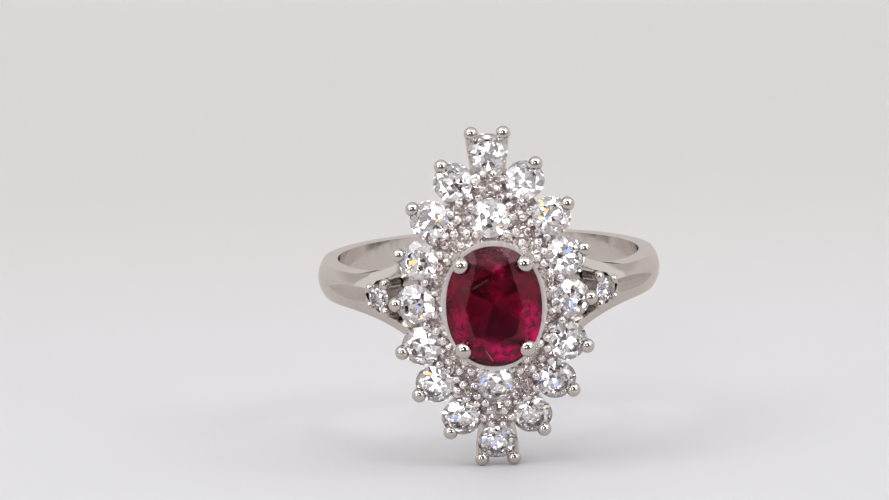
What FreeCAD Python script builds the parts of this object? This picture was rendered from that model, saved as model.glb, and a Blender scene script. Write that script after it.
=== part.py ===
"""Navette cluster cocktail ring: an oval ruby in a halo of round brilliants on a split shank.

Frame: millimetres, +Z along the finger hole's axis, the head faces -Y, origin at the hole's centre.
The stones lie on a shallow dome (a sphere whose centre is behind the finger hole), so every
setting points along the dome's own normal.
"""
import FreeCAD, Part
import math
import os

import Sketcher
from FreeCAD import Placement, Rotation, Vector

SIZES = [
    # finger hole and shank
    ("hole_radius", 8.25), ("side_reach", 9.35), ("back_reach", 9.5), ("front_reach", 10.7),
    ("shank_width", 1.9), ("crown_rise", 0.32), ("blank_bore", 7.85),
    ("flare_start", 8.4), ("flare_radius", 6.5), ("rail_width", 0.5), ("channel_apex", 6.80),
    ("channel_lead", 0.65), ("channel_end", 3.3), ("channel_floor", 1.15), ("tube_length", 20.0),
    ("groove_start", 67.0), ("groove_end", 42.0), ("groove_lift", 0.6),
    ("groove_depth", 0.42), ("groove_half_width", 0.55),
    # dome that carries the stones
    ("dome_radius", 17.0), ("dome_crest", 11.68),
    # round brilliants; girdle and table are shares of the diameter
    ("diamond_diameter", 2.1), ("shoulder_diameter", 1.35), ("diamond_girdle", 0.03),
    ("diamond_table", 0.57), ("diamond_crown_angle", 34.5), ("diamond_star_angle", 22.0),
    ("diamond_upper_angle", 41.5), ("diamond_pavilion_angle", 40.9), ("diamond_lower_angle", 42.3),
    ("stone_turn", 17.0),
    # plan places of the outer row from the middle of the side to the tip, and the inner pair
    ("side_x", 4.10), ("third_x", 3.87), ("third_z", 2.27), ("second_x", 3.22), ("second_z", 4.38),
    ("first_x", 1.90), ("first_z", 6.30), ("tip_z", 7.78), ("inner_z", 4.44),
    # collets: halo stones, then shoulder stones
    ("halo_top", 0.12), ("halo_depth", 0.95), ("halo_foot_radius", 0.80), ("halo_bore", 0.62),
    ("shoulder_top", 0.08), ("shoulder_depth", 1.45), ("shoulder_foot_radius", 0.55),
    ("shoulder_bore", 0.40), ("rim_setback", 0.05), ("seat_gap", 0.01),
    ("shoulder_x", 6.0), ("shoulder_rise", 0.10), ("shoulder_post_depth", 0.9),
    # ruby: width across, length over width, fullness of its outline, and its basket
    ("ruby_diameter", 5.05), ("ruby_stretch", 1.262), ("ruby_fullness", 2.2), ("ruby_rise", 1.20),
    ("ruby_girdle", 0.024), ("ruby_table", 0.60), ("ruby_crown_angle", 38.0),
    ("ruby_star_angle", 25.0), ("ruby_upper_angle", 43.0), ("ruby_pavilion_angle", 39.5),
    ("ruby_lower_angle", 41.5), ("basket_wall", 0.27), ("basket_top", 0.22), ("basket_drop", 2.2),
    ("basket_taper", 0.50), ("basket_foot_rise", 9.95), ("basket_foot_height", 0.5),
    ("basket_foot_half_width", 1.80), ("basket_foot_half_length", 2.35), ("basket_foot_wall", 0.42),
    ("claw_post_radius", 0.36), ("claw_radius", 0.47), ("claw_x", 1.66), ("claw_z", 2.22),
    ("claw_rise", 0.28), ("claw_bend", 0.30), ("claw_drop", 0.25), ("claw_foot_share", 0.86),
    # prongs and grains; the elbow ball is a little wider than its wire
    ("prong_radius", 0.30), ("prong_tip_radius", 0.39), ("prong_rise", 0.14),
    ("prong_reach", 1.10), ("elbow_share", 1.02), ("prong_foot_share", 0.6),
    ("grain_radius", 0.23), ("grain_post_radius", 0.18), ("grain_rise", 0.10),
    ("grain_hold", 0.10), ("grain_pitch", 0.47), ("grain_spread", 0.02),
    # plate and rails under the stones
    ("plate_half_width", 3.95), ("plate_half_length", 7.25), ("plate_top", 0.16),
    ("plate_thickness", 0.40), ("gallery_half_width", 4.0), ("gallery_half_length", 7.5),
    ("gallery_width", 0.58), ("gallery_top", 0.92), ("gallery_thickness", 0.55),
    ("base_half_width", 3.3), ("base_half_length", 6.3), ("base_width", 0.7), ("base_height", 0.9),
    ("overlap", 0.1),
]
# angles round the finger, from the head, at which the right half of the shank has a section
SHANK_ANGLES = [23, 29, 35, 42, 50, 60, 72, 90, 120, 150]
# stone held, tip's plan place, and foot's height on the base rail, for the prongs of one quarter
OUTER_PRONGS = [
    ("first", 2.49, 7.12, 5.0), ("second", 4.09, 4.98, 3.6), ("third", 4.90, 2.60, 1.9),
    ("side", 5.15, 0.0, 0.0),
]
TIP_PRONG = (0.85, 8.72, 5.25)
# place along the shank away from the head, place across it, and share of a halo grain's size
SHOULDER_GRAINS = [(0.52, 0.46, 1.05), (0.52, -0.46, 1.05), (-0.62, 0.74, 1.35), (-0.62, -0.74, 1.35)]
# distance from a stone's edge and number of places round it where a grain may stand
GRAIN_RINGS = [(0.11, 24), (0.45, 24), (0.75, 30), (1.05, 36)]
GIRDLE_SIDES = 72

doc = FreeCAD.newDocument("CocktailRing")
sheet = doc.addObject("Spreadsheet::Sheet", "Sizes")
for row, (alias, value) in enumerate(SIZES, start=1):
    sheet.set(f"A{row}", alias)
    sheet.set(f"B{row}", str(value))
    sheet.setAlias(f"B{row}", alias)
doc.recompute()

UP = Vector(0, 0, 1)
FORWARD = Vector(0, -1, 0)
pieces = []


def size(expression):
    """Value of an expression over the sheet, as a plain number."""
    return float(sheet.evalExpression(expression))


def bind(item, **expressions):
    """Tie properties to expressions over the sheet."""
    for name, expression in expressions.items():
        item.setExpression(name, expression)


def keep(item, label):
    """List an object as a sub-part under its own label."""
    item.Label = label
    pieces.append(item)
    return item


# ------------------------------------------------------------------ sketches and solids

def origin_plane(body, role):
    for feature in body.Origin.OriginFeatures:
        if feature.Role == role:
            return feature
    raise ValueError(role)


def new_sketch(body, name, role, offset=None):
    sketch = body.newObject("Sketcher::SketchObject", name)
    sketch.AttachmentSupport = [(origin_plane(body, role), "")]
    sketch.MapMode = "FlatFace"
    if offset is not None:
        sketch.AttachmentOffset = offset
    return sketch


def pin_point(sketch, edge, end, place):
    """Fix one end of an edge at a place given by two expressions."""
    for kind, expression in zip(("DistanceX", "DistanceY"), place):
        index = sketch.addConstraint(Sketcher.Constraint(kind, -1, 1, edge, end, size(expression)))
        sketch.setExpression(f"Constraints[{index}]", expression)


def polygon(sketch, corners):
    """Closed outline whose corners are pairs of expressions."""
    points = [Vector(size(x), size(y), 0) for x, y in corners]
    count = len(points)
    for i in range(count):
        sketch.addGeometry(Part.LineSegment(points[i], points[(i + 1) % count]), False)
    for i in range(count):
        sketch.addConstraint(Sketcher.Constraint("Coincident", i, 2, (i + 1) % count, 1))
        pin_point(sketch, i, 1, corners[i])


def bound_arc(sketch, start, middle, end, radius):
    """Arc through three points, given as pairs of expressions, held by its ends and radius."""
    points = [Vector(size(x), size(y), 0) for x, y in (start, middle, end)]
    arc = Part.Arc(*points)
    edge = sketch.addGeometry(arc, False)
    first = sketch.getPoint(edge, 1)
    flipped = (first - points[0]).Length > (first - points[2]).Length
    pin_point(sketch, edge, 2 if flipped else 1, start)
    pin_point(sketch, edge, 1 if flipped else 2, end)
    index = sketch.addConstraint(Sketcher.Constraint("Radius", edge, size(radius)))
    sketch.setExpression(f"Constraints[{index}]", radius)
    return edge


def bound_line(sketch, start, end):
    points = [Vector(size(x), size(y), 0) for x, y in (start, end)]
    edge = sketch.addGeometry(Part.LineSegment(*points), False)
    pin_point(sketch, edge, 1, start)
    pin_point(sketch, edge, 2, end)
    return edge


def bound_circle(sketch, radius):
    """Circle round the sketch's origin with its radius tied to an expression."""
    sketch.addGeometry(Part.Circle(Vector(), UP, size(radius)), False)
    sketch.addConstraint(Sketcher.Constraint("Coincident", 0, 3, -1, 1))
    index = sketch.addConstraint(Sketcher.Constraint("Radius", 0, size(radius)))
    sketch.setExpression(f"Constraints[{index}]", radius)


def navette(sketch, half_width, half_length):
    """Pointed oval of two equal arcs, its points on the sketch's vertical axis."""
    radius = f"(({half_width})^2 + ({half_length})^2) / (2 * ({half_width}))"
    top = ("0", half_length)
    bottom = ("0", f"-({half_length})")
    bound_arc(sketch, bottom, (half_width, "0"), top, radius)
    bound_arc(sketch, top, (f"-({half_width})", "0"), bottom, radius)


def pad(body, sketch, length, name, reverse=False):
    feature = body.newObject("PartDesign::Pad", name)
    feature.Profile = sketch
    feature.Reversed = reverse
    bind(feature, Length=length)
    body.Tip = feature
    return feature


def navette_block(name, half_width, half_length, wall=None):
    """Navette column running forward from the finger axis, hollow if a wall is given."""
    body = doc.addObject("PartDesign::Body", name)
    sketch = new_sketch(body, name + "Outline", "XZ_Plane")
    navette(sketch, half_width, half_length)
    if wall is not None:
        navette(sketch, f"{half_width} - {wall}", f"{half_length} - 2 * {wall}")
    pad(body, sketch, "Sizes.dome_radius", name + "Pad")
    return body


def primitive(kind, name, placement, **expressions):
    item = doc.addObject(kind, name)
    bind(item, **expressions)
    item.Placement = placement
    return item


def compound(name, items):
    item = doc.addObject("Part::Compound", name)
    item.Links = items
    return item


def fuse(name, items):
    item = doc.addObject("Part::MultiFuse", name)
    item.Shapes = items
    return item


def common(name, items):
    item = doc.addObject("Part::MultiCommon", name)
    item.Shapes = items
    return item


def cut(name, base, tool):
    item = doc.addObject("Part::Cut", name)
    item.Base = base
    item.Tool = tool
    return item


def copy_scaled(name, source, factor, placement):
    item = doc.addObject("Part::Scale", name)
    item.Base = source
    item.Uniform = True
    bind(item, UniformScale=factor)
    item.Placement = placement
    return item


def half_turn(name, source):
    """Copy turned half way round the axis through the middle of the head."""
    whole = compound(name + "Source", [source])
    return copy_scaled(name, whole, "1", Placement(Vector(), Rotation(FORWARD, 180)))


def shell(name, top, thickness):
    """Layer of the dome that starts at a depth under the girdles and has a thickness."""
    centre = Placement(Vector(0, size("Sizes.dome_radius - Sizes.dome_crest"), 0), Rotation())
    outer = primitive("Part::Sphere", name + "Outer", centre, Radius=f"Sizes.dome_radius - {top}")
    inner = primitive("Part::Sphere", name + "Inner", centre,
                      Radius=f"Sizes.dome_radius - {top} - {thickness}")
    return cut(name, outer, inner)


# ------------------------------------------------------------------ places on the dome

def dome_point(x, z):
    radius = size("Sizes.dome_radius")
    centre_y = radius - size("Sizes.dome_crest")
    return Vector(x, centre_y - math.sqrt(radius ** 2 - x ** 2 - z ** 2), z)


def dome_normal(x, z):
    centre = Vector(0, size("Sizes.dome_radius - Sizes.dome_crest"), 0)
    return (dome_point(x, z) - centre).normalize()


def facing(point, normal, turn=0.0):
    """Placement whose local +Z is a normal, turned about it."""
    return Placement(point, Rotation(UP, normal) * Rotation(UP, turn))


def stone_places():
    """Name, plan x and plan z of each halo stone, right side first."""
    row = [(size(f"Sizes.{name}_x"), size(f"Sizes.{name}_z")) for name in ("first", "second", "third")]
    side = row + [(size("Sizes.side_x"), 0.0)] + [(x, -z) for x, z in reversed(row)]
    places = [("top", 0.0, size("Sizes.tip_z")), ("bottom", 0.0, -size("Sizes.tip_z"))]
    places += [("inner_top", 0.0, size("Sizes.inner_z")), ("inner_bottom", 0.0, -size("Sizes.inner_z"))]
    places += [(f"right_{i}", x, z) for i, (x, z) in enumerate(side, start=1)]
    places += [(f"left_{i}", -x, z) for i, (x, z) in enumerate(side, start=1)]
    return places


# ------------------------------------------------------------------ gems

def cut_facets(body, name, diameter, plane, side, turn, count):
    """One tier of facets: a flat cut through (radius, height) at an angle, repeated round the axis."""
    radius, height, angle = plane
    reach = f"0.2 * {diameter}"
    offset = Placement(Vector(), Rotation(Vector(0, 1, 0), turn))
    sketch = new_sketch(body, name + "Line", "XZ_Plane", offset)
    apex = f"{side} * ({height} + {radius} * tan({angle}))"
    low = f"{side} * ({height} - {reach} * tan({angle}))"
    out = f"{radius} + {reach}"
    polygon(sketch, [("0", apex), (out, low), (out, apex)])
    pocket = body.newObject("PartDesign::Pocket", name + "Cut")
    pocket.Profile = sketch
    pocket.SideType = "Symmetric"
    bind(pocket, Length=f"2 * {diameter}")
    body.Tip = pocket
    pattern = body.newObject("PartDesign::PolarPattern", name)
    pattern.Originals = [pocket]
    pattern.Axis = (sketch, ["V_Axis"])
    pattern.Angle = 360
    pattern.Occurrences = count
    body.Tip = pattern


def brilliant(name, stone):
    """Round brilliant, girdle at the origin and table towards +Z, from one stone's cells."""
    body = doc.addObject("PartDesign::Body", name)
    diameter = f"Sizes.{stone}_diameter"
    radius = f"0.5 * {diameter}"
    girdle = f"0.5 * Sizes.{stone}_girdle * {diameter}"
    corner = f"0.5 * Sizes.{stone}_table * {diameter}"
    crown = f"({radius} - {corner}) * tan(Sizes.{stone}_crown_angle)"
    depth = f"{girdle} + {radius} * tan(Sizes.{stone}_pavilion_angle)"
    sketch = new_sketch(body, name + "Girdle", "XY_Plane")
    bound_circle(sketch, radius)
    sketch.setExpression("AttachmentOffset.Base.z", f"-({depth})")
    pad(body, sketch, f"{depth} + {girdle} + {crown}", name + "Blank")
    for tier, reach, height, angle, side, turn, count in facet_tiers(stone):
        plane = (reach, height, f"Sizes.{stone}_{angle}")
        cut_facets(body, name + tier, diameter, plane, side, turn, count)
    return body


def facet_tiers(stone):
    """Tiers of a brilliant as (name, radius, height, angle cell, side, first turn, count)."""
    radius = f"0.5 * Sizes.{stone}_diameter"
    girdle = f"0.5 * Sizes.{stone}_girdle * Sizes.{stone}_diameter"
    corner = f"{radius} * Sizes.{stone}_table"
    crown = f"({radius} - {corner}) * tan(Sizes.{stone}_crown_angle)"
    return [
        ("CrownMains", radius, girdle, "crown_angle", 1, 0, 8),
        ("UpperHalves", radius, girdle, "upper_angle", 1, 11.25, 16),
        ("Stars", f"{corner} * cos(22.5)", f"{girdle} + {crown}", "star_angle", 1, 22.5, 8),
        ("PavilionMains", radius, girdle, "pavilion_angle", -1, 0, 8),
        ("LowerHalves", radius, girdle, "lower_angle", -1, 11.25, 16),
    ]


def oval_place(stone, turn):
    """Place on a unit oval outline at an angle, and the slope of the outline there."""
    power = size(f"Sizes.{stone}_fullness")
    x, y = math.cos(math.radians(turn)), math.sin(math.radians(turn))
    spread = (abs(x) ** power + abs(y) ** power) ** (-1 / power)
    x, y = x * spread, y * spread
    slope_x = math.copysign(abs(x) ** (power - 1), x)
    slope_y = math.copysign(abs(y) ** (power - 1), y)
    return x, y, slope_x, slope_y


def oval_brilliant(name, stone):
    """Oval brilliant: the facet tiers of a round one laid round a full oval outline.

    Each facet is cut from the oval blank by a box whose face lies on the facet's plane.
    """
    stretch = size(f"Sizes.{stone}_stretch")
    radius = size(f"0.5 * Sizes.{stone}_diameter")
    girdle = size(f"0.5 * Sizes.{stone}_girdle * Sizes.{stone}_diameter")
    crown = radius * size(f"(1 - Sizes.{stone}_table) * tan(Sizes.{stone}_crown_angle)")
    depth = girdle + radius * size(f"tan(Sizes.{stone}_pavilion_angle)")
    corners = []
    for step in range(GIRDLE_SIDES + 1):
        x, y, _, _ = oval_place(stone, 360 * step / GIRDLE_SIDES)
        corners.append(Vector(radius * x, stretch * radius * y, -depth))
    solid = Part.Face(Part.makePolygon(corners)).extrude(Vector(0, 0, depth + girdle + crown))
    block_side = 4 * radius * stretch
    for _, reach, height, angle, side, first, count in facet_tiers(stone):
        slope = math.radians(size(f"Sizes.{stone}_{angle}"))
        for step in range(count):
            x, y, slope_x, slope_y = oval_place(stone, first + 360 * step / count)
            point = Vector(size(reach) * x, stretch * size(reach) * y, side * size(height))
            normal = Vector(math.sin(slope) * slope_x, math.sin(slope) * slope_y / stretch,
                            side * math.cos(slope))
            block = Part.makeBox(block_side, block_side, block_side)
            block.translate(Vector(-block_side / 2, -block_side / 2, 0))
            block.Placement = facing(point, normal.normalize()) * block.Placement
            solid = solid.cut(block)
    item = doc.addObject("Part::Feature", name)
    item.Shape = solid.Solids[0]
    return item


# ------------------------------------------------------------------ collets and their clearance

def turned(name, corners):
    """Solid turned about the local +Z axis from an outline in (radius, height)."""
    body = doc.addObject("PartDesign::Body", name)
    sketch = new_sketch(body, name + "Outline", "XZ_Plane")
    polygon(sketch, corners)
    feature = body.newObject("PartDesign::Revolution", name + "Turned")
    feature.Profile = sketch
    feature.ReferenceAxis = (sketch, ["V_Axis"])
    feature.Angle = 360
    body.Tip = feature
    return body


def collet_lines(stone, setting):
    """Expressions that the collet and its clearance share, for one stone and one setting size."""
    girdle = f"0.5 * Sizes.diamond_girdle * Sizes.{stone}_diameter"
    edge = f"0.5 * Sizes.{stone}_diameter + Sizes.seat_gap"
    return {
        "top": f"-Sizes.{setting}_top",
        "bottom": f"-Sizes.{setting}_depth",
        "foot": f"Sizes.{setting}_foot_radius",
        "bore": f"Sizes.{setting}_bore",
        "rim": f"0.5 * Sizes.{stone}_diameter - Sizes.rim_setback",
        "edge": edge,
        "girdle": f"{girdle} + Sizes.seat_gap",
        "lip": f"{edge} - (Sizes.{setting}_top - {girdle}) / tan(Sizes.diamond_pavilion_angle)",
        "seat": f"-({girdle}) - ({edge} - Sizes.{setting}_bore) * tan(Sizes.diamond_pavilion_angle)",
        "corner": f"0.5 * Sizes.diamond_table * Sizes.{stone}_diameter",
    }


def collet(name, stone, setting):
    """Tapered collet with a seat that follows the pavilion, its top just under the girdle."""
    at = collet_lines(stone, setting)
    return turned(name, [
        (at["bore"], at["bottom"]), (at["foot"], at["bottom"]), (at["rim"], at["top"]),
        (at["lip"], at["top"]), (at["bore"], at["seat"]),
    ])


def setting_room(name, stone, setting):
    """Room taken by a stone in its collet, used to notch what stands beside it."""
    at = collet_lines(stone, setting)
    table = f"{at['girdle']} + ({at['edge']} - {at['corner']}) * tan(Sizes.diamond_crown_angle)"
    return turned(name, [
        ("0", at["bottom"]), (at["foot"], at["bottom"]), (at["rim"], at["top"]),
        (at["edge"], at["top"]), (at["edge"], at["girdle"]), (at["corner"], table), ("0", table),
    ])


# ------------------------------------------------------------------ wires

def post(name, start, end, radius, tip_radius):
    """Round wire from start to end, with a ball on its end."""
    along = end - start
    wire = primitive("Part::Cylinder", name + "Wire", facing(start, along), Radius=radius)
    wire.Height = along.Length
    ball = primitive("Part::Sphere", name + "Ball", Placement(end, Rotation()), Radius=tip_radius)
    return [wire, ball]


def bent_wire(name, foot, elbow, tip, radius, tip_radius):
    """Wire with one bend and a ball on its tip."""
    parts = post(name + "Leg", foot, elbow, radius, f"Sizes.elbow_share * {radius}")
    return fuse(name, parts + post(name + "Claw", elbow, tip, radius, tip_radius))


def outer_prong(name, stone, tip, foot):
    """Wire from the base rail out to the stone's edge and up along the stone's own axis."""
    centre = dome_point(*stone)
    normal = dome_normal(*stone)
    across = (tip[0] - centre.x) * normal.x + (tip[1] - centre.z) * normal.z
    ball = Vector(tip[0], centre.y + (size("Sizes.prong_rise") - across) / normal.y, tip[1])
    elbow = ball - normal * size("Sizes.prong_reach")
    return bent_wire(name, foot, elbow, ball, "Sizes.prong_radius", "Sizes.prong_tip_radius")


def base_rail_point(side, z):
    """Point inside the base rail at a height along the finger; side is 1 on the right."""
    half_width = size("Sizes.base_half_width - 0.5 * Sizes.base_width")
    half_length = size("Sizes.base_half_length - Sizes.base_width")
    radius = (half_width ** 2 + half_length ** 2) / (2 * half_width)
    x = math.sqrt(radius ** 2 - z ** 2) - (radius - half_width)
    radial = size("Sizes.hole_radius + Sizes.prong_foot_share * Sizes.base_height")
    return Vector(side * x, -math.sqrt(radial ** 2 - x ** 2), z)


# ------------------------------------------------------------------ shank

def shank_reach(angle):
    """Distance of the shank's crest from the finger axis; 0 is the head, 180 the back."""
    end = "Sizes.back_reach" if 90 <= angle <= 270 else "Sizes.front_reach"
    return f"1 / sqrt((sin({angle}) / Sizes.side_reach)^2 + (cos({angle}) / {end})^2)"


def shank_section(body, angle):
    """Half-round section of the shank in the plane through the finger axis at an angle."""
    offset = Placement(Vector(), Rotation(Vector(0, 1, 0), angle - 90))
    sketch = new_sketch(body, f"ShankSection{angle}", "XZ_Plane", offset)
    crest = shank_reach(angle)
    half = "0.5 * Sizes.shank_width"
    out = f"{crest} * abs(sin({angle}))"
    if not 90 <= angle <= 270 and size(out) < size("Sizes.flare_start"):
        fall = f"Sizes.flare_radius^2 - (Sizes.flare_start - {out})^2"
        half = f"{half} + Sizes.flare_radius - sqrt({fall})"
    inner = "Sizes.blank_bore"
    edge = f"{crest} - Sizes.crown_rise"
    bound_line(sketch, (inner, f"-({half})"), (edge, f"-({half})"))
    radius = f"(({half})^2 + Sizes.crown_rise^2) / (2 * Sizes.crown_rise)"
    bound_arc(sketch, (edge, f"-({half})"), (crest, "0"), (edge, half), radius)
    bound_line(sketch, (edge, half), (inner, half))
    bound_line(sketch, (inner, half), (inner, f"-({half})"))
    return sketch


def shank_blank():
    """Solid shank, wide at the head, narrow at the back, bored for the finger."""
    body = doc.addObject("PartDesign::Body", "ShankBlank")
    angles = SHANK_ANGLES + [180] + [360 - angle for angle in reversed(SHANK_ANGLES)]
    sections = [shank_section(body, angle) for angle in angles]
    loft = body.newObject("PartDesign::AdditiveLoft", "ShankLoft")
    loft.Profile = sections[0]
    loft.Sections = sections[1:]
    body.Tip = loft
    sketch = new_sketch(body, "FingerHole", "XY_Plane")
    bound_circle(sketch, "Sizes.hole_radius")
    hole = body.newObject("PartDesign::Pocket", "FingerHoleCut")
    hole.Profile = sketch
    hole.SideType = "Symmetric"
    bind(hole, Length="2 * Sizes.hole_radius")
    body.Tip = hole
    return body


def tube(name, radius):
    """Round bar along the finger axis, longer than the head."""
    item = primitive("Part::Cylinder", name, Placement(), Radius=radius, Height="Sizes.tube_length")
    item.setExpression("Placement.Base.z", "-0.5 * Sizes.tube_length")
    return item


def channel():
    """Recess between the two rails of a shoulder, with a floor left over the finger."""
    body = doc.addObject("PartDesign::Body", "ChannelColumn")
    sketch = new_sketch(body, "ChannelOutline", "XZ_Plane")
    far = "Sizes.channel_apex - Sizes.channel_lead"
    near = "Sizes.channel_end"
    radius = "Sizes.flare_radius + Sizes.rail_width"

    def edge(x):
        rise = f"sqrt(({radius})^2 - (Sizes.flare_start - ({x}))^2)"
        return f"0.5 * Sizes.shank_width + Sizes.flare_radius - {rise}"

    middle = f"0.5 * ({far} + {near})"
    apex = ("Sizes.channel_apex", "0")
    upper = [(x, edge(x)) for x in (far, middle, near)]
    lower = [(x, f"-({z})") for x, z in upper]
    bound_line(sketch, apex, upper[0])
    bound_arc(sketch, *upper, radius)
    bound_line(sketch, upper[2], lower[2])
    bound_arc(sketch, *reversed(lower), radius)
    bound_line(sketch, lower[0], apex)
    pad(body, sketch, "Sizes.dome_crest", "ChannelPad")
    return cut("Channel", body, tube("ChannelFloor", "Sizes.hole_radius + Sizes.channel_floor"))


def crest_point(angle, depth):
    """Point under the shank's crest at an angle from the head."""
    radial = size(f"{shank_reach(angle)} - {depth}")
    turn = math.radians(angle)
    return Vector(radial * math.sin(turn), -radial * math.cos(turn), 0)


def groove():
    """V groove that runs out along the shank from the point where the rails part."""
    start = crest_point(size("Sizes.groove_start"), "0")
    end = crest_point(size("Sizes.groove_end"), "Sizes.groove_depth")
    along = (end - start).normalize()
    inward = Vector(along.y, -along.x, 0)
    if inward.dot(start) > 0:
        inward = -inward
    wedge = doc.addObject("Part::Wedge", "Groove")
    wedge.Xmin, wedge.X2min, wedge.Ymin = 0, 0, 0
    wedge.Z2min, wedge.Z2max = 0, 0
    wedge.Xmax = wedge.X2max = (end - start).Length
    bind(wedge, Ymax="Sizes.groove_lift", Zmin="-Sizes.groove_half_width", Zmax="Sizes.groove_half_width")
    turn = Rotation(along, inward, along.cross(inward), "XYZ")
    wedge.Placement = Placement(start - inward * size("Sizes.groove_lift"), turn)
    return wedge


def shoulder_place():
    """Seat of the right shoulder stone on the crest of the shank, table facing outwards."""
    a, b, x = size("Sizes.side_reach"), size("Sizes.front_reach"), size("Sizes.shoulder_x")
    y = -b * math.sqrt(1 - (x / a) ** 2)
    normal = Vector(x / a ** 2, y / b ** 2, 0).normalize()
    outward = Vector(-normal.y, normal.x, 0)
    point = Vector(x, y, 0) + normal * size("Sizes.shoulder_rise")
    return Placement(point, Rotation(outward, normal.cross(outward), normal, "ZXY"))


# ------------------------------------------------------------------ oval basket of the ruby

def oval(name, rise, half_width, half_length):
    turn = Rotation(Vector(0, 0, 1), Vector(1, 0, 0), Vector(0, 1, 0), "XYZ")
    item = primitive("Part::Ellipse", name, Placement(Vector(), turn),
                     MajorRadius=half_length, MinorRadius=half_width)
    item.setExpression("Placement.Base.y", f"-({rise})")
    return item


def oval_column(name, low, high):
    """Solid between two ovals, each given as rise, half width and half length."""
    item = doc.addObject("Part::Loft", name)
    item.Sections = [oval(name + "Low", *low), oval(name + "High", *high)]
    item.Solid = True
    item.Ruled = True
    return item


def oval_ring(name, low, high, wall):
    """Hollow oval wall between two levels; returns the wall and the solid it is cut from."""
    outside = oval_column(name + "Outside", low, high)
    rise, half_width, half_length = low
    under = (f"{rise} - Sizes.overlap", f"{half_width} - {wall}", f"{half_length} - {wall}")
    rise, half_width, half_length = high
    over = (f"{rise} + Sizes.overlap", f"{half_width} - {wall}", f"{half_length} - {wall}")
    return cut(name + "Wall", outside, oval_column(name + "Inside", under, over)), outside


# ------------------------------------------------------------------ stones and collets

def set_stones():
    """Halo stones with their collets; returns the room each setting takes, and one stone."""
    stone = brilliant("Brilliant", "diamond")
    seat = collet("Collet", "diamond", "halo")
    room = setting_room("SettingRoom", "diamond", "halo")
    rooms = []
    for number, (place, x, z) in enumerate(stone_places()):
        frame = facing(dome_point(x, z), dome_normal(x, z), size("Sizes.stone_turn") * number)
        keep(copy_scaled(f"Stone{number}", stone, "1", frame), f"diamond_{place}")
        keep(copy_scaled(f"Seat{number}", seat, "1", frame), f"collet_{place}")
        rooms.append(copy_scaled(f"Room{number}", room, "1", frame))
    return compound("HaloRooms", rooms), stone


def set_shoulders(stone):
    """Small stone, collet and grains on each shoulder; returns the rooms of the settings."""
    frame = shoulder_place()
    ratio = "Sizes.shoulder_diameter / Sizes.diamond_diameter"
    seat = collet("ShoulderCollet", "shoulder", "shoulder")
    room = setting_room("ShoulderRoom", "shoulder", "shoulder")
    taken = copy_scaled("ShoulderTaken", room, "1", frame)
    grains = []
    for number, (along, across, share) in enumerate(SHOULDER_GRAINS):
        name = f"ShoulderGrain{number}"
        foot = frame.multVec(Vector(along, across, -size("Sizes.shoulder_post_depth")))
        top = frame.multVec(Vector(along, across, size("Sizes.grain_rise")))
        grains.append(fuse(name, post(name, foot, top, f"{share} * Sizes.grain_post_radius",
                                      f"{share} * Sizes.grain_radius")))
    right = {
        "diamond": copy_scaled("ShoulderStoneSet", stone, ratio, frame),
        "collet": copy_scaled("ShoulderSeatSet", seat, "1", frame),
        "prongs": cut("ShoulderGrains", compound("ShoulderGrainSet", grains), taken),
    }
    for word, item in right.items():
        keep(item, f"shoulder_{word}_right")
        keep(half_turn(f"Shoulder{word}Left", item), f"shoulder_{word}_left")
    return [taken, half_turn("ShoulderTakenLeft", taken)]


def set_claws(rise, foot_rise):
    """Four claws that hold the ruby, each a bent wire from the foot ring."""
    claws = []
    bend = size("Sizes.claw_bend")
    share = size("Sizes.claw_foot_share")
    for number, (u, v) in enumerate(((1, 1), (1, -1), (-1, -1), (-1, 1))):
        x, z = u * size("Sizes.claw_x"), v * size("Sizes.claw_z")
        ball = Vector(x, -size(f"{rise} + Sizes.claw_rise"), z)
        lean = Vector(x, 0, z).normalize() * bend
        knee = ball + lean + Vector(0, bend + size("Sizes.claw_drop"), 0)
        foot = Vector(share * x, -size(f"{foot_rise} + 0.5 * Sizes.basket_foot_height"), share * z)
        claws.append(bent_wire(f"Claw{number}", foot, knee, ball,
                               "Sizes.claw_post_radius", "Sizes.claw_radius"))
    return compound("ClawSet", claws)


def set_ruby():
    """Ruby, its oval basket, foot ring and four claws; returns what they take up."""
    rise = "Sizes.dome_crest + Sizes.ruby_rise"
    ruby = oval_brilliant("Ruby", "ruby")
    ruby.Placement = facing(Vector(0, -size(rise), 0), FORWARD)
    keep(ruby, "ruby")

    wide = "0.5 * Sizes.ruby_diameter + Sizes.basket_wall"
    long = "0.5 * Sizes.ruby_diameter * Sizes.ruby_stretch + Sizes.basket_wall"
    low = (f"{rise} - Sizes.basket_drop", f"{wide} - Sizes.basket_taper", f"{long} - Sizes.basket_taper")
    high = (f"{rise} - Sizes.basket_top", wide, long)
    basket, outside = oval_ring("Basket", low, high, "2 * Sizes.basket_wall")
    foot_rise = "Sizes.basket_foot_rise"
    foot = (foot_rise, "Sizes.basket_foot_half_width", "Sizes.basket_foot_half_length")
    foot_top = (f"{foot_rise} + Sizes.basket_foot_height",) + foot[1:]
    foot_ring, _ = oval_ring("FootRing", foot, foot_top, "Sizes.basket_foot_wall")

    claws = set_claws(rise, foot_rise)
    keep(cut("RubyClaws", claws, ruby), "ruby_prongs")
    keep(cut("RubyBasket", basket, compound("BasketNotches", [claws, ruby])), "ruby_collet")
    keep(cut("RubyFoot", foot_ring, claws), "ruby_base_ring")
    return [outside, claws]


# ------------------------------------------------------------------ prongs and grains

def keep_pair(whole, rooms, first, second):
    """Keep a set of wires notched by the stones, and the same set half way round the head."""
    notched = keep(cut(whole.Name + "Notched", whole, rooms), first)
    keep(half_turn(whole.Name + "Twin", notched), second)
    return [whole, half_turn(whole.Name + "WholeTwin", whole)]


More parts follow.
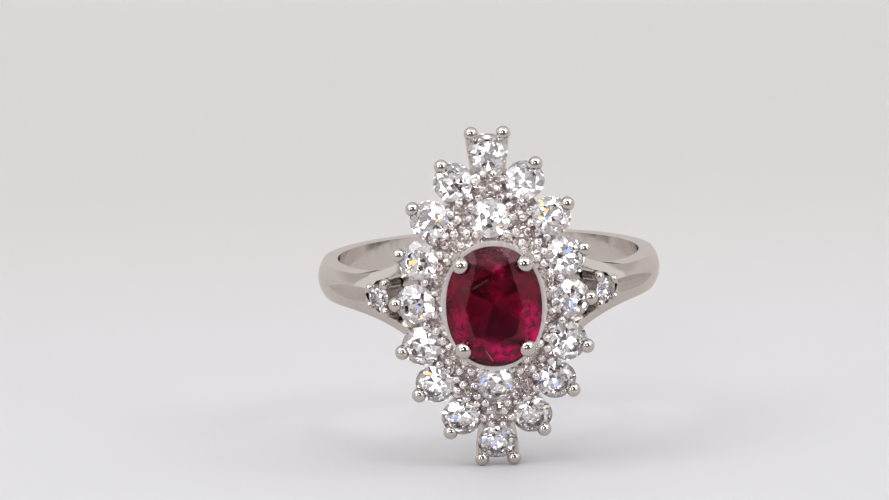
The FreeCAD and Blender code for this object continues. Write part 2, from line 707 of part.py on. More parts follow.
def set_outer_prongs(rooms):
    """Prongs round the head, one for each outer stone and two at each tip; returns them all."""
    right = []
    for name, x, z, foot_z in OUTER_PRONGS:
        stone = (size(f"Sizes.{name}_x"), size(f"Sizes.{name}_z") if z else 0.0)
        for way in ((1, -1) if z else (1,)):
            label = f"Prong_{name}_{'upper' if way > 0 else 'lower'}"
            foot = base_rail_point(1, way * foot_z)
            right.append(outer_prong(label, (stone[0], way * stone[1]), (x, way * z), foot))
    tip_x, tip_z, foot_z = TIP_PRONG
    top = []
    for side, hand in ((1, "right"), (-1, "left")):
        stone = (0.0, size("Sizes.tip_z"))
        foot = base_rail_point(side, foot_z)
        top.append(outer_prong(f"TipProng_{hand}", stone, (side * tip_x, tip_z), foot))
    prongs = keep_pair(compound("OuterProngs", right), rooms, "outer_prongs_right", "outer_prongs_left")
    return prongs + keep_pair(compound("TipProngs", top), rooms, "tip_prongs_top", "tip_prongs_bottom")


def on_plate(x, z):
    """Whether a grain at a plan place stands on the plate, clear of the ruby's basket."""
    half_width, half_length = size("Sizes.plate_half_width"), size("Sizes.plate_half_length")
    radius = (half_width ** 2 + half_length ** 2) / (2 * half_width)
    inside = math.hypot(abs(x) + radius - half_width, z) < radius - size("Sizes.grain_post_radius")
    room = size("Sizes.basket_wall + Sizes.grain_post_radius")
    wide = size("0.5 * Sizes.ruby_diameter") + room
    long = size("0.5 * Sizes.ruby_diameter * Sizes.ruby_stretch") + room
    return inside and math.hypot(x / wide, z / long) > 1


def grain_places():
    """Plan places of the grains in the upper right quarter, filling the gaps between stones."""
    stones = [(x, z) for _, x, z in stone_places()]
    edge = size("0.5 * Sizes.diamond_diameter")
    pitch = size("Sizes.grain_pitch")
    places = []
    for distance, count in GRAIN_RINGS:
        for stone_x, stone_z in stones:
            for step in range(count):
                turn = 2 * math.pi * step / count
                x = stone_x + (edge + distance) * math.cos(turn)
                z = stone_z + (edge + distance) * math.sin(turn)
                near_stone = min(math.hypot(x - a, z - b) for a, b in stones)
                near_grain = min((math.hypot(x - a, z - b) for a, b in places), default=pitch)
                off_axes = min(x, z) > 0.5 * pitch
                clear = near_stone >= edge + size("Sizes.grain_hold") and near_grain >= pitch
                if off_axes and clear and on_plate(x, z):
                    places.append((x, z))
    return places


def grain(name, x, z, share):
    """Small raised grain that stands on the plate and holds the stones next to it."""
    normal = dome_normal(x, z)
    top = dome_point(x, z) + normal * size("Sizes.grain_rise")
    foot = dome_point(x, z) - normal * size("Sizes.plate_top")
    return fuse(name, post(name, foot, top, f"{share} * Sizes.grain_post_radius",
                           f"{share} * Sizes.grain_radius"))


def set_grains(rooms, basket):
    """Grains between the stones: a set at each end of the head and one at each side of the ruby."""
    upper, right = [], []
    split = size("Sizes.inner_z - 0.5 * Sizes.diamond_diameter")
    for number, (x, z) in enumerate(grain_places()):
        share = 1 + size("Sizes.grain_spread") * math.cos(number)
        group, twin = (upper, (-x, z)) if z > split else (right, (x, -z))
        group.append(grain(f"Grain{number}", x, z, share))
        group.append(grain(f"GrainTwin{number}", *twin, share))
    taken = compound("GrainNotches", [rooms] + basket)
    keep_pair(compound("UpperGrains", upper), taken, "bead_prongs_upper", "bead_prongs_lower")
    keep_pair(compound("RightGrains", right), taken, "bead_prongs_right", "bead_prongs_left")


# ------------------------------------------------------------------ plate, rails and shank

def set_plate(rooms, prongs, basket):
    """Domed plate that the grains stand on, open under each stone and round the ruby."""
    column = navette_block("PlateColumn", "Sizes.plate_half_width", "Sizes.plate_half_length")
    plate = common("PlateDome", [column, shell("PlateShell", "Sizes.plate_top", "Sizes.plate_thickness")])
    keep(cut("Plate", plate, compound("PlateGaps", [rooms, prongs] + basket)), "setting_plate")


def set_rails(rooms, prongs):
    """Gallery rail round the collets and base rail on the shank; returns both before notching."""
    column = navette_block("GalleryColumn", "Sizes.gallery_half_width",
                           "Sizes.gallery_half_length", "Sizes.gallery_width")
    band = shell("GalleryShell", "Sizes.gallery_top", "Sizes.gallery_thickness")
    gallery = common("GalleryDome", [column, band])
    keep(cut("Gallery", gallery, compound("GalleryGaps", [rooms, prongs])), "gallery_rail")
    column = navette_block("BaseColumn", "Sizes.base_half_width", "Sizes.base_half_length",
                           "Sizes.base_width")
    outer = tube("BaseOuter", "Sizes.hole_radius + Sizes.base_height")
    base = common("BaseSaddle", [column, cut("BaseTube", outer, tube("BaseInner", "Sizes.hole_radius"))])
    keep(cut("Base", base, prongs), "base_rail")
    return [gallery, base]


def set_shank(others):
    """Shank with both shoulders hollowed and grooved, notched for what is soldered into it."""
    right = [channel(), groove()]
    tools = right + [half_turn(item.Name + "Left", item) for item in right] + others
    keep(cut("Shank", shank_blank(), fuse("ShankGaps", tools)), "shank")


# ------------------------------------------------------------------ the ring

def build():
    rooms, stone = set_stones()
    shoulder_rooms = set_shoulders(stone)
    basket = set_ruby()
    prongs = compound("AllProngs", set_outer_prongs(rooms))
    set_grains(rooms, basket)
    set_plate(rooms, prongs, basket)
    rails = set_rails(rooms, prongs)
    set_shank(shoulder_rooms + [prongs] + rails)


def check():
    doc.recompute()
    for item in doc.Objects:
        if "Invalid" in item.State or "Error" in item.State:
            raise RuntimeError(f"{item.Label} did not compute: {item.State}")
    for item in pieces:
        if item.Shape.isNull() or not item.Shape.isValid():
            raise RuntimeError(f"{item.Label} has no valid shape")


def write():
    os.makedirs("parts", exist_ok=True)
    for item in pieces:
        item.Shape.exportStep(os.path.join("parts", item.Label + ".step"))


build()
check()
write()
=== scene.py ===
"""Looks of the cocktail ring: polished platinum, round brilliants and a deep red oval stone."""
import math
import random

import bpy
from mathutils import Matrix, Vector


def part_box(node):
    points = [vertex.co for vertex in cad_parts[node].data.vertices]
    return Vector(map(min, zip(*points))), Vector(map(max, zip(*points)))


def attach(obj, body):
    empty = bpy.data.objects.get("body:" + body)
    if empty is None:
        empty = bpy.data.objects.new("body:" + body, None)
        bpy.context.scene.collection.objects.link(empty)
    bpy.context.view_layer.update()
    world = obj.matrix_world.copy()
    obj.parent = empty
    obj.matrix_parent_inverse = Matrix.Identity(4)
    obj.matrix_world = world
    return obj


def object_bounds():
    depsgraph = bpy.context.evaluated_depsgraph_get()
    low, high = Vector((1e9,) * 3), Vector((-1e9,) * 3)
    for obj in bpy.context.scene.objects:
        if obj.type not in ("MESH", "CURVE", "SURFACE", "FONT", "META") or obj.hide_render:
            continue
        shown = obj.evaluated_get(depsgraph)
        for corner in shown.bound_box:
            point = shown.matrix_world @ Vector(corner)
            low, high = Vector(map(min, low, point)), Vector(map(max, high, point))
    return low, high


MM = 0.001

# every length is in metres unless its comment says otherwise, and every angle constant in degrees
PLATINUM_DARK, PLATINUM_LIGHT = (0.67, 0.63, 0.605), (0.77, 0.735, 0.715)
CAST_SKIN = (0.62, 0.59, 0.565)

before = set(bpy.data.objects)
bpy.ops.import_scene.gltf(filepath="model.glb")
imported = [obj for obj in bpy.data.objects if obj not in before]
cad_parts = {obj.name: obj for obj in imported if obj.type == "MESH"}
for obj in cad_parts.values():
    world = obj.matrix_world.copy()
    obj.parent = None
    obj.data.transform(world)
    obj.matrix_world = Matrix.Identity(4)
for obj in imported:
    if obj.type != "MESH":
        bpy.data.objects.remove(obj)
cad_low, cad_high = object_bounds()


# ------------------------------------------------------------------ node helpers

def new_material(name):
    """Empty node material with its output node."""
    material = bpy.data.materials.new(name)
    material.use_nodes = True
    nodes = material.node_tree.nodes
    nodes.clear()
    return material, nodes, material.node_tree.links, nodes.new("ShaderNodeOutputMaterial")


def add(nodes, kind, **values):
    """New node with its properties and input values set by name."""
    node = nodes.new("ShaderNode" + kind)
    for name, value in values.items():
        if hasattr(node, name):
            setattr(node, name, value)
        else:
            node.inputs[name.replace("_", " ")].default_value = value
    return node


def noise(nodes, links, scale, detail=3.0, stretch=(1, 1, 1)):
    """Noise over object space, scale in features per metre."""
    place = add(nodes, "TexCoord")
    mapping = add(nodes, "Mapping")
    mapping.inputs["Scale"].default_value = stretch
    links.new(place.outputs["Object"], mapping.inputs["Vector"])
    texture = add(nodes, "TexNoise", Scale=scale, Detail=detail)
    links.new(mapping.outputs["Vector"], texture.inputs["Vector"])
    return texture


def ramp(nodes, links, source, low, high, from_low=0.35, from_high=0.65):
    """Remap a factor to a smooth range of values."""
    node = add(nodes, "MapRange", interpolation_type="SMOOTHSTEP")
    node.inputs["From Min"].default_value = from_low
    node.inputs["From Max"].default_value = from_high
    node.inputs["To Min"].default_value = low
    node.inputs["To Max"].default_value = high
    links.new(source, node.inputs["Value"])
    return node.outputs["Result"]


# ------------------------------------------------------------------ materials

def platinum(name, rough_low, rough_high, relief, matte, skin_color):
    """Platinum with faint polishing marks, softly varying shine and a share of matte cast skin.

    Its roughness varies between two values; relief is the strength of the marks, matte the skin's share."""
    material, nodes, links, out = new_material(name)
    metal = add(nodes, "BsdfPrincipled", Metallic=1.0)
    tone = noise(nodes, links, 450.0)
    color = add(nodes, "ValToRGB")
    color.color_ramp.elements[0].color = (*PLATINUM_DARK, 1)
    color.color_ramp.elements[1].color = (*PLATINUM_LIGHT, 1)
    links.new(tone.outputs["Fac"], color.inputs["Fac"])
    links.new(color.outputs["Color"], metal.inputs["Base Color"])
    marks = noise(nodes, links, 2500.0, 4.0, (1, 1, 0.25))
    links.new(ramp(nodes, links, marks.outputs["Fac"], rough_low, rough_high), metal.inputs["Roughness"])
    bump = add(nodes, "Bump", Strength=relief, Distance=0.01 * MM)
    links.new(marks.outputs["Fac"], bump.inputs["Height"])
    links.new(bump.outputs["Normal"], metal.inputs["Normal"])
    skin = add(nodes, "BsdfDiffuse", Color=(*skin_color, 1))
    links.new(bump.outputs["Normal"], skin.inputs["Normal"])
    mix = add(nodes, "MixShader", Fac=matte)
    links.new(metal.outputs["BSDF"], mix.inputs[1])
    links.new(skin.outputs["BSDF"], mix.inputs[2])
    links.new(mix.outputs["Shader"], out.inputs["Surface"])
    return material


def tilt_cells(nodes, links, metal, scale, strength):
    """Tilt a surface differently in each small cell, as bright cut facets do.

    scale is in cells per metre; strength is the tilt's length against the normal's."""
    place = add(nodes, "TexCoord")
    cells = add(nodes, "TexVoronoi", Scale=scale)
    links.new(place.outputs["Object"], cells.inputs["Vector"])
    centre = add(nodes, "VectorMath", operation="SUBTRACT")
    links.new(cells.outputs["Color"], centre.inputs[0])
    centre.inputs[1].default_value = (0.5, 0.5, 0.5)
    tilt = add(nodes, "VectorMath", operation="SCALE")
    links.new(centre.outputs["Vector"], tilt.inputs[0])
    tilt.inputs["Scale"].default_value = strength
    geometry = add(nodes, "NewGeometry")
    total = add(nodes, "VectorMath", operation="ADD")
    links.new(geometry.outputs["Normal"], total.inputs[0])
    links.new(tilt.outputs["Vector"], total.inputs[1])
    unit = add(nodes, "VectorMath", operation="NORMALIZE")
    links.new(total.outputs["Vector"], unit.inputs[0])
    links.new(unit.outputs["Vector"], metal.inputs["Normal"])
    return cells


# painted light: the dark cut colour is painted dark reflection, and the pink of the matte skin is painted
# reflection of the red stone
CUT_PAINTED_DARK, CUT_LIGHT, CUT_SKIN = (0.30, 0.20, 0.21), (0.97, 0.94, 0.945), (0.92, 0.84, 0.845)
CUT_SKIN_SHARE = 0.12


def bright_cut(name, scale, strength, painted_dark_share):
    """Platinum worked with a graver: tiny mirror cuts at all angles, a share of them painted dark as dark
    reflections, over a matte skin tinted pink as a painted reflection of the red stone.
    """
    material, nodes, links, out = new_material(name)
    metal = add(nodes, "BsdfPrincipled", Metallic=1.0, Roughness=0.08)
    cells = tilt_cells(nodes, links, metal, scale, strength)
    tone = add(nodes, "ValToRGB")
    tone.color_ramp.interpolation = "CONSTANT"
    tone.color_ramp.elements[0].color = (*CUT_PAINTED_DARK, 1)
    tone.color_ramp.elements[1].position = painted_dark_share
    tone.color_ramp.elements[1].color = (*CUT_LIGHT, 1)
    links.new(cells.outputs["Color"], tone.inputs["Fac"])
    links.new(tone.outputs["Color"], metal.inputs["Base Color"])
    skin = add(nodes, "BsdfDiffuse", Color=(*CUT_SKIN, 1))
    mix = add(nodes, "MixShader", Fac=CUT_SKIN_SHARE)
    links.new(metal.outputs["BSDF"], mix.inputs[1])
    links.new(skin.outputs["BSDF"], mix.inputs[2])
    links.new(mix.outputs["Shader"], out.inputs["Surface"])
    return material


DIAMOND_IOR, RUBY_IOR = 2.417, 1.77


def diamond(name):
    """Clear stone of high refraction; its polish differs a little from spot to spot."""
    material, nodes, links, out = new_material(name)
    glass = add(nodes, "BsdfGlass", Color=(0.99, 0.988, 0.992, 1), IOR=DIAMOND_IOR)
    polish = noise(nodes, links, 900.0, 3.0)
    links.new(ramp(nodes, links, polish.outputs["Fac"], 0.0, 0.02), glass.inputs["Roughness"])
    links.new(glass.outputs["BSDF"], out.inputs["Surface"])
    return material


def streak(nodes, links, start, end, width):
    """1 on a thin line over the head, given by two plan points in metres, 0 off it."""
    a, b = Vector((start[0], 0, start[1])), Vector((end[0], 0, end[1]))
    place = add(nodes, "TexCoord")
    flat = add(nodes, "VectorMath", operation="MULTIPLY")
    flat.inputs[1].default_value = (1, 0, 1)
    links.new(place.outputs["Object"], flat.inputs[0])
    offset = add(nodes, "VectorMath", operation="SUBTRACT")
    offset.inputs[1].default_value = a
    links.new(flat.outputs["Vector"], offset.inputs[0])
    along = add(nodes, "VectorMath", operation="DOT_PRODUCT")
    along.inputs[1].default_value = (b - a) / (b - a).length_squared
    links.new(offset.outputs["Vector"], along.inputs[0])
    share = add(nodes, "Clamp")
    links.new(along.outputs["Value"], share.inputs["Value"])
    foot = add(nodes, "VectorMath", operation="SCALE")
    foot.inputs[0].default_value = b - a
    links.new(share.outputs["Result"], foot.inputs["Scale"])
    gap = add(nodes, "VectorMath", operation="DISTANCE")
    links.new(offset.outputs["Vector"], gap.inputs[0])
    links.new(foot.outputs["Vector"], gap.inputs[1])
    return ramp(nodes, links, gap.outputs["Value"], 1.0, 0.0, 0.3 * width, width)


# the red stone's scratches: start, end and width in plan millimetres, then strength
RUBY_STREAKS = [
    ((-0.50, -2.30), (-0.16, -2.85), 0.035, 0.85),
    ((-1.05, 1.10), (-0.35, 1.50), 0.06, 0.16),
]
# patches of painted highlight where the red stone's facets light up: start, end and width in plan
# millimetres, then strength
RUBY_PAINTED_GLOWS = [
    ((1.80, -0.20), (2.10, -1.65), 0.75, 1.0),
    ((-1.80, -0.35), (-1.80, -1.60), 0.55, 0.6),
    ((2.00, -1.40), (2.05, -1.75), 0.45, 1.0),
    ((0.10, -2.40), (1.00, -2.45), 0.60, 1.0),
    ((0.30, 2.10), (0.25, 1.60), 0.40, 0.6),
    ((-0.90, -2.10), (0.60, -2.35), 0.80, 0.6),
]
RUBY_SILK_DARK, RUBY_SILK_LIGHT = (0.42, 0.05, 0.17), (0.64, 0.09, 0.27)
# the scratch colour, then the colour of the painted highlight patches
RUBY_SCRATCH, RUBY_PAINTED_GLOW_COLOR = (0.42, 0.20, 0.24), (0.80, 0.012, 0.16)
RUBY_BODY, RUBY_DENSITY = (0.73, 0.01, 0.47), 900.0


def overlay(nodes, links, shader, top, factor):
    """The top shader laid over another by a factor."""
    mix = add(nodes, "MixShader")
    links.new(factor, mix.inputs["Fac"])
    links.new(shader, mix.inputs[1])
    links.new(top.outputs["BSDF"], mix.inputs[2])
    return mix.outputs["Shader"]


def plan_mark(nodes, links, start, end, width, strength):
    """Factor of a line on the head, with its numbers as in the lists above."""
    points = [(x * MM, z * MM) for x, z in (start, end)]
    mark = add(nodes, "Math", operation="MULTIPLY")
    mark.inputs[1].default_value = strength
    links.new(streak(nodes, links, *points, width * MM), mark.inputs[0])
    return mark.outputs["Value"]


def ruby(name):
    """Deep crimson stone: colour from absorption inside, a silky tone, fine scratches and patches of
    painted highlight near its edges.
    """
    material, nodes, links, out = new_material(name)
    silk = noise(nodes, links, 900.0, 1.5, (1, 1, 0.6))
    surface = add(nodes, "BsdfPrincipled", IOR=RUBY_IOR, Specular_Tint=(0.5, 0.30, 0.36, 1))
    surface.inputs["Transmission Weight"].default_value = 1.0
    tint = add(nodes, "ValToRGB")
    tint.color_ramp.elements[0].color = (*RUBY_SILK_DARK, 1)
    tint.color_ramp.elements[1].color = (*RUBY_SILK_LIGHT, 1)
    links.new(silk.outputs["Fac"], tint.inputs["Fac"])
    links.new(tint.outputs["Color"], surface.inputs["Base Color"])
    links.new(ramp(nodes, links, silk.outputs["Fac"], 0.08, 0.20), surface.inputs["Roughness"])
    waves = noise(nodes, links, 1100.0, 2.0)
    bump = add(nodes, "Bump", Strength=0.35, Distance=0.05 * MM)
    links.new(waves.outputs["Fac"], bump.inputs["Height"])
    links.new(bump.outputs["Normal"], surface.inputs["Normal"])
    scratch = add(nodes, "BsdfDiffuse", Color=(*RUBY_SCRATCH, 1))
    shader = surface.outputs["BSDF"]
    for numbers in RUBY_STREAKS:
        shader = overlay(nodes, links, shader, scratch, plan_mark(nodes, links, *numbers))
    # painted highlight: bright red matte patches laid over the stone at the listed places, broken up by
    # noise
    glow = add(nodes, "BsdfDiffuse", Color=(*RUBY_PAINTED_GLOW_COLOR, 1))
    glow_breakup = ramp(nodes, links, noise(nodes, links, 2600.0, 3.0).outputs["Fac"], 0.05, 0.50)
    for numbers in RUBY_PAINTED_GLOWS:
        cloud = add(nodes, "Math", operation="MULTIPLY")
        links.new(plan_mark(nodes, links, *numbers), cloud.inputs[0])
        links.new(glow_breakup, cloud.inputs[1])
        shader = overlay(nodes, links, shader, glow, cloud.outputs["Value"])
    body = add(nodes, "VolumeAbsorption", Color=(*RUBY_BODY, 1), Density=RUBY_DENSITY)
    links.new(shader, out.inputs["Surface"])
    links.new(body.outputs["Volume"], out.inputs["Volume"])
    return material


FLOOR_LOW, FLOOR_HIGH = (0.69, 0.70, 0.735), (0.725, 0.735, 0.77)
BACKDROP = (0.648, 0.635, 0.638)
BACKDROP_START, BACKDROP_FULL = 0.0, 0.12  # behind the ring
# painted shade: the paper as the metal mirrors it is darker than the camera sees it
MIRRORED_FLOOR_PAINTED_SHADE = (0.54, 0.51, 0.50)
# painted dark reflection: a dark card on the paper that only rays other than camera rays see
FLOOR_CARD_PAINTED_DARK = (0.05, 0.045, 0.042)
CARD_FULL, CARD_EDGE = -0.060, -0.030  # in front of the ring


def paper_white(name):
    """Pale satin paper, cool round the ring and a little warmer and darker far behind it.

    Seen in the metal it is darker, and the ring sees a dark card on it towards the camera, which keeps
    the table of the red stone clear."""
    material, nodes, links, out = new_material(name)
    surface = add(nodes, "BsdfPrincipled", Roughness=0.5)
    place = add(nodes, "TexCoord")
    axes = add(nodes, "SeparateXYZ")
    links.new(place.outputs["Object"], axes.inputs["Vector"])
    cloud = noise(nodes, links, 10.0, 2.0)
    far = ramp(nodes, links, axes.outputs["Y"], 0.0, 1.0, BACKDROP_START, BACKDROP_FULL)
    flat = blend_colors(nodes, links, cloud.outputs["Fac"], FLOOR_LOW, FLOOR_HIGH)
    paper = blend_colors(nodes, links, far, flat, BACKDROP)
    near = ramp(nodes, links, axes.outputs["Y"], 1.0, 0.0, CARD_FULL, CARD_EDGE)
    path = add(nodes, "LightPath")
    unseen = add(nodes, "Math", operation="SUBTRACT", use_clamp=True)
    unseen.inputs[0].default_value = 1.0
    links.new(path.outputs["Is Camera Ray"], unseen.inputs[1])
    card = add(nodes, "Math", operation="MULTIPLY")
    links.new(near, card.inputs[0])
    links.new(unseen.outputs["Value"], card.inputs[1])
    # painted shade in reflections, then the painted dark card for every ray but the camera's
    mirrored = blend_colors(nodes, links, path.outputs["Is Glossy Ray"], paper, MIRRORED_FLOOR_PAINTED_SHADE)
    total = blend_colors(nodes, links, card.outputs["Value"], mirrored, FLOOR_CARD_PAINTED_DARK)
    links.new(total, surface.inputs["Base Color"])
    links.new(surface.outputs["BSDF"], out.inputs["Surface"])
    return material


def dress(node, material):
    """Give a CAD node one material in every slot."""
    node.data.materials.clear()
    node.data.materials.append(material)
    for polygon in node.data.polygons:
        polygon.material_index = 0


# ------------------------------------------------------------------ graver cuts

CUT_PITCH = 0.27 * MM
CUT_RADIUS = 0.20 * MM
CUT_HEIGHT = (0.08 * MM, 0.22 * MM)
CUT_SINK = 0.02 * MM
CUT_LEAN = 0.5  # of the radius
CUT_MARGIN = 1.3  # of an arm, kept clear of the plate's holes and edges
CUT_SMALLEST_SHARE = 0.1
CUT_SEED = 11
FACING = -0.8  # normals of the plate's front point further forward than this


def plate_front(plate, x, z):
    """Place and normal of the plate's front at a plan point, or None over a hole or a steep edge."""
    hit, place, normal, _ = plate.ray_cast(Vector((x, cad_low.y, z)), Vector((0, 1, 0)))
    return (place, normal) if hit and normal.y < FACING else None


def clear_share(plate, place, arm):
    """Share of an arm from a place on the plate that keeps clear of holes and edges."""
    share = 1.0
    while share > CUT_SMALLEST_SHARE:
        end = place + share * CUT_MARGIN * arm
        if plate_front(plate, end.x, end.z):
            break
        share *= 0.5
    return share


def add_cut(points, faces, plate, place, normal, chance):
    """Add a small closed pyramid that leans a little. It is lower and narrower near holes and edges."""
    side = normal.cross(Vector((0, 0, 1))).normalized()
    other = normal.cross(side)
    turn = chance.uniform(0, math.pi)
    first = len(points)
    room = 1.0
    for step in range(4):
        angle = turn + step * math.pi / 2
        reach = CUT_RADIUS * chance.uniform(0.85, 1.1)
        arm = side * (reach * math.cos(angle)) + other * (reach * math.sin(angle))
        share = clear_share(plate, place, arm)
        room = min(room, share)
        points.append(place - normal * CUT_SINK + share * arm)
    lean = side * chance.uniform(-CUT_LEAN, CUT_LEAN) + other * chance.uniform(-CUT_LEAN, CUT_LEAN)
    points.append(place + room * (lean * CUT_RADIUS + normal * chance.uniform(*CUT_HEIGHT)))
    faces.append((first + 3, first + 2, first + 1, first))
    for step in range(4):
        faces.append((first + step, first + (step + 1) % 4, first + 4))


def make_cuts(material):
    """Field of small bright pyramids between the stones, wherever the plate has metal."""
    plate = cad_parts["setting_plate"]
    chance = random.Random(CUT_SEED)
    low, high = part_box("setting_plate")
    points, faces = [], []
    rows = int((high.z - low.z) / CUT_PITCH)
    columns = int((high.x - low.x) / CUT_PITCH)
    for row in range(rows):
        for column in range(columns):
            x = low.x + (column + 0.5 * (row % 2) + chance.uniform(0.35, 0.65)) * CUT_PITCH
            z = low.z + (row + chance.uniform(0.35, 0.65)) * CUT_PITCH
            front = plate_front(plate, x, z)
            if front:
                add_cut(points, faces, plate, *front, chance)
    mesh = bpy.data.meshes.new("plate_bright_cuts")
    mesh.from_pydata(points, [], faces)
    cuts = bpy.data.objects.new("plate_bright_cuts", mesh)
    bpy.context.scene.collection.objects.link(cuts)
    mesh.materials.append(material)
    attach(cuts, "root")


# ------------------------------------------------------------------ stage

def toward(degrees_right, degrees_up):
    """Direction seen from the ring, measured from straight ahead of its head."""
    right, up = math.radians(degrees_right), math.radians(degrees_up)
    return Vector((math.sin(right) * math.cos(up), -math.cos(right) * math.cos(up), math.sin(up)))


def world_disc(nodes, links, view, direction, half_angle, soft=0.8):
    """0 to 1 factor, 1 inside a round patch of the surroundings."""
    dot = add(nodes, "VectorMath", operation="DOT_PRODUCT")
    dot.inputs[1].default_value = direction
    links.new(view, dot.inputs[0])
    inner, outer = math.cos(math.radians(half_angle * soft)), math.cos(math.radians(half_angle))
    return ramp(nodes, links, dot.outputs["Value"], 0.0, 1.0, outer, inner)


def blend_colors(nodes, links, factor, first, second):
    """Mix of two colours, each a socket or a plain colour."""
    mix = add(nodes, "Mix", data_type="RGBA")
    sockets = [s for s in mix.inputs if s.type == "RGBA"]
    for socket, value in zip(sockets, (first, second)):
        if isinstance(value, tuple):
            socket.default_value = (*value, 1)
        else:
            links.new(value, socket)
    links.new(factor, mix.inputs["Factor"])
    return [s for s in mix.outputs if s.type == "RGBA"][0]


STUDIO = (0.82, 0.80, 0.785)
# right, up and half angle in degrees, and colour: the lens's dark surroundings, lamps, dark sides
STUDIO_PATCHES = [
    (0, 12, 44, (0.085, 0.07, 0.06)),
    (-12, 19, 5.5, (13.0, 12.8, 12.7)),
    (43, 18, 8, (6.5, 6.5, 6.6)),
    (-46, 12, 7, (6.5, 6.4, 6.3)),
    (14, 62, 7, (6.5, 6.4, 6.3)),
    (-36, 46, 7, (6.5, 6.4, 6.3)),
    (36, 48, 7, (6.5, 6.4, 6.3)),
    (10, -24, 9, (3.2, 3.1, 3.1)),
    (-60, 52, 20, (3.0, 2.95, 2.9)),
    (70, 45, 15, (3.0, 3.0, 3.05)),
    (-85, 5, 12, (0.30, 0.27, 0.25)),
    (85, 0, 14, (0.34, 0.31, 0.29)),
]
FIRE_SHIFT, FIRE_SCALE = (2.1, 1.3, 0.4), 14.0
# start of each share of the patches seen through a stone, and its colour
FIRE_STOPS = [
    (0.0, (0.09, 0.07, 0.07)),
    (0.18, (0.47, 0.43, 0.44)),
    (0.47, (0.82, 0.78, 0.79)),
    (0.74, (3.9, 3.8, 3.9)),
    (0.965, (0.55, 0.85, 2.0)),
    (0.983, (2.4, 1.3, 0.55)),
]
# dark round patch straight behind the head, so that light doesn't leak through the stones
BEHIND, BEHIND_HALF_ANGLE, BEHIND_SOFT = (0.10, 0.08, 0.078), 62, 0.6


def make_world():
    """White tent with the camera's dark opening and a few soft lamps.

    Rays that come out of a stone see small light, dark and tinted patches instead."""
    world = bpy.data.worlds.new("studio")
    bpy.context.scene.world = world
    world.use_nodes = True
    nodes, links = world.node_tree.nodes, world.node_tree.links
    nodes.clear()
    out = add(nodes, "OutputWorld")
    view = add(nodes, "TexCoord").outputs["Generated"]
    studio = STUDIO
    for right, up, half_angle, color in STUDIO_PATCHES:
        factor = world_disc(nodes, links, view, toward(right, up), half_angle)
        studio = blend_colors(nodes, links, factor, studio, color)

    shift = add(nodes, "VectorMath", operation="ADD")
    shift.inputs[1].default_value = FIRE_SHIFT
    links.new(view, shift.inputs[0])
    cells = add(nodes, "TexVoronoi", Scale=FIRE_SCALE)
    links.new(shift.outputs["Vector"], cells.inputs["Vector"])
    parts = add(nodes, "SeparateColor")
    links.new(cells.outputs["Color"], parts.inputs["Color"])
    fire = add(nodes, "ValToRGB")
    fire.color_ramp.interpolation = "CONSTANT"
    for index, (position, color) in enumerate(FIRE_STOPS):
        if index < 2:
            element = fire.color_ramp.elements[index]
            element.position = position
        else:
            element = fire.color_ramp.elements.new(position)
        element.color = (*color, 1)
    links.new(parts.outputs["Red"], fire.inputs["Fac"])
    behind = world_disc(nodes, links, view, toward(180, 0), BEHIND_HALF_ANGLE, BEHIND_SOFT)
    through = blend_colors(nodes, links, behind, fire.outputs["Color"], BEHIND)
    path = add(nodes, "LightPath")
    total = blend_colors(nodes, links, path.outputs["Is Transmission Ray"], studio, through)
    sky = add(nodes, "Background", Strength=1.0)
    links.new(total, sky.inputs["Color"])
    links.new(sky.outputs["Background"], out.inputs["Surface"])


SWEEP_FRONT, SWEEP_BACK = -0.60, 0.22
SWEEP_RADIUS = 0.30
SWEEP_HALF_WIDTH = SWEEP_HEIGHT = 1.2
SWEEP_STEPS = 24


def make_floor(height):
    """Pale paper that lies flat under the ring and curves up behind it."""
    profile = [(SWEEP_FRONT, height), (SWEEP_BACK, height)]
    for step in range(1, SWEEP_STEPS + 1):
        turn = math.radians(90 * step / SWEEP_STEPS)
        profile.append((SWEEP_BACK + SWEEP_RADIUS * math.sin(turn),
                        height + SWEEP_RADIUS * (1 - math.cos(turn))))
    profile.append((SWEEP_BACK + SWEEP_RADIUS, height + SWEEP_HEIGHT))
    points = [(x, y, z) for y, z in profile for x in (-SWEEP_HALF_WIDTH, SWEEP_HALF_WIDTH)]
    faces = [(i, i + 1, i + 3, i + 2) for i in range(0, len(points) - 2, 2)]
    mesh = bpy.data.meshes.new("sweep")
    mesh.from_pydata(points, [], faces)
    mesh.polygons.foreach_set("use_smooth", [True] * len(faces))
    sweep = bpy.data.objects.new("sweep", mesh)
    bpy.context.scene.collection.objects.link(sweep)
    mesh.materials.append(paper_white("paper_white"))
    sweep.visible_transmission = False


AZIMUTH, ELEVATION, ROLL = -0.95, 8.6, -2.0
DISTANCE = 0.30
PICTURE_WIDTH = 0.04874
AIM_RIGHT, AIM_UP = -2.423 * MM, 1.086 * MM


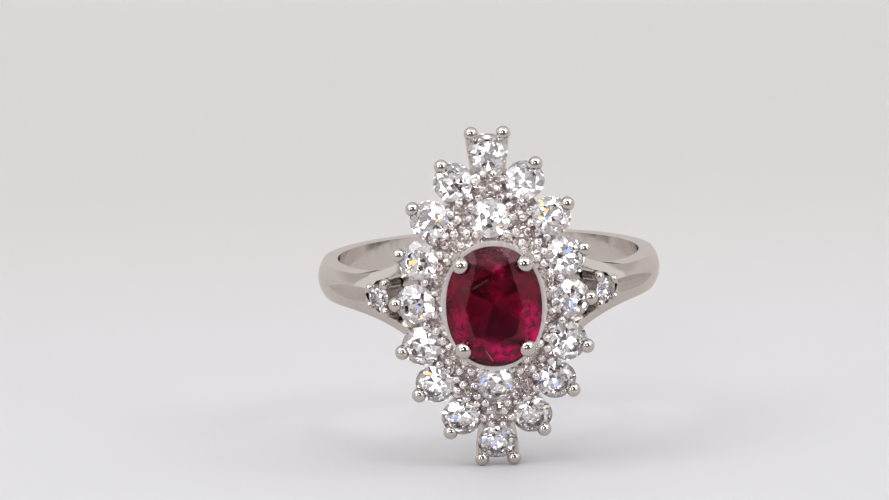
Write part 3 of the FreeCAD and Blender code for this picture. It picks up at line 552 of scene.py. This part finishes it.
def make_camera():
    """Long lens slightly above the ring, tilted a little, the ring right of the middle."""
    a, e, r = (math.radians(v) for v in (AZIMUTH, ELEVATION, ROLL))
    back = Vector((math.sin(a) * math.cos(e), -math.cos(a) * math.cos(e), math.sin(e)))
    right = Vector((0, 0, 1)).cross(back).normalized()
    up = back.cross(right)
    right, up = right * math.cos(r) + up * math.sin(r), up * math.cos(r) - right * math.sin(r)
    place = back * DISTANCE
    back = (place - right * AIM_RIGHT - up * AIM_UP).normalized()
    right = up.cross(back).normalized()
    up = back.cross(right)
    data = bpy.data.cameras.new("camera")
    data.lens = data.sensor_width * DISTANCE / PICTURE_WIDTH
    data.clip_start, data.clip_end = 0.01, 10
    camera = bpy.data.objects.new("camera", data)
    bpy.context.scene.collection.objects.link(camera)
    camera.matrix_world = Matrix.Translation(place) @ Matrix((right, up, back)).transposed().to_4x4()
    bpy.context.scene.camera = camera


# ------------------------------------------------------------------ dress the ring

INNER_METAL = ("gallery_rail", "base_rail", "ruby_base_ring")


def main():
    """Dress the CAD nodes, add the graver cuts and set the stage."""
    bpy.context.scene.view_settings.view_transform = "Standard"
    bright = platinum("platinum_polished", 0.06, 0.14, 0.15, 0.0, CAST_SKIN)
    cast = platinum("platinum_cast", 0.18, 0.32, 0.5, 0.35, CAST_SKIN)
    rim = platinum("platinum_rim", 0.12, 0.22, 0.3, 0.45, (0.86, 0.82, 0.81))
    frosted = platinum("platinum_frosted", 0.20, 0.35, 0.4, 0.80, (0.93, 0.89, 0.885))
    grain = bright_cut("platinum_grain", 3800.0, 0.75, 0.20)
    engraved = bright_cut("platinum_bright_cut", 4600.0, 1.3, 0.26)
    clear = diamond("diamond_clear")
    red = ruby("ruby_red")
    for name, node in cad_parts.items():
        if name == "ruby":
            dress(node, red)
        elif "diamond" in name:
            dress(node, clear)
        elif name == "setting_plate":
            dress(node, engraved)
        elif name == "ruby_collet":
            dress(node, frosted)
        elif "collet" in name:
            dress(node, rim)
        elif "bead" in name:
            dress(node, grain)
        else:
            dress(node, cast if name in INNER_METAL else bright)
    # the pink of the cuts' matte skin is painted reflection of the red stone
    make_cuts(platinum("platinum_cuts", 0.04, 0.12, 0.3, 0.14, (1.0, 0.90, 0.90)))
    make_world()
    make_floor(cad_low.z)
    make_camera()


main()
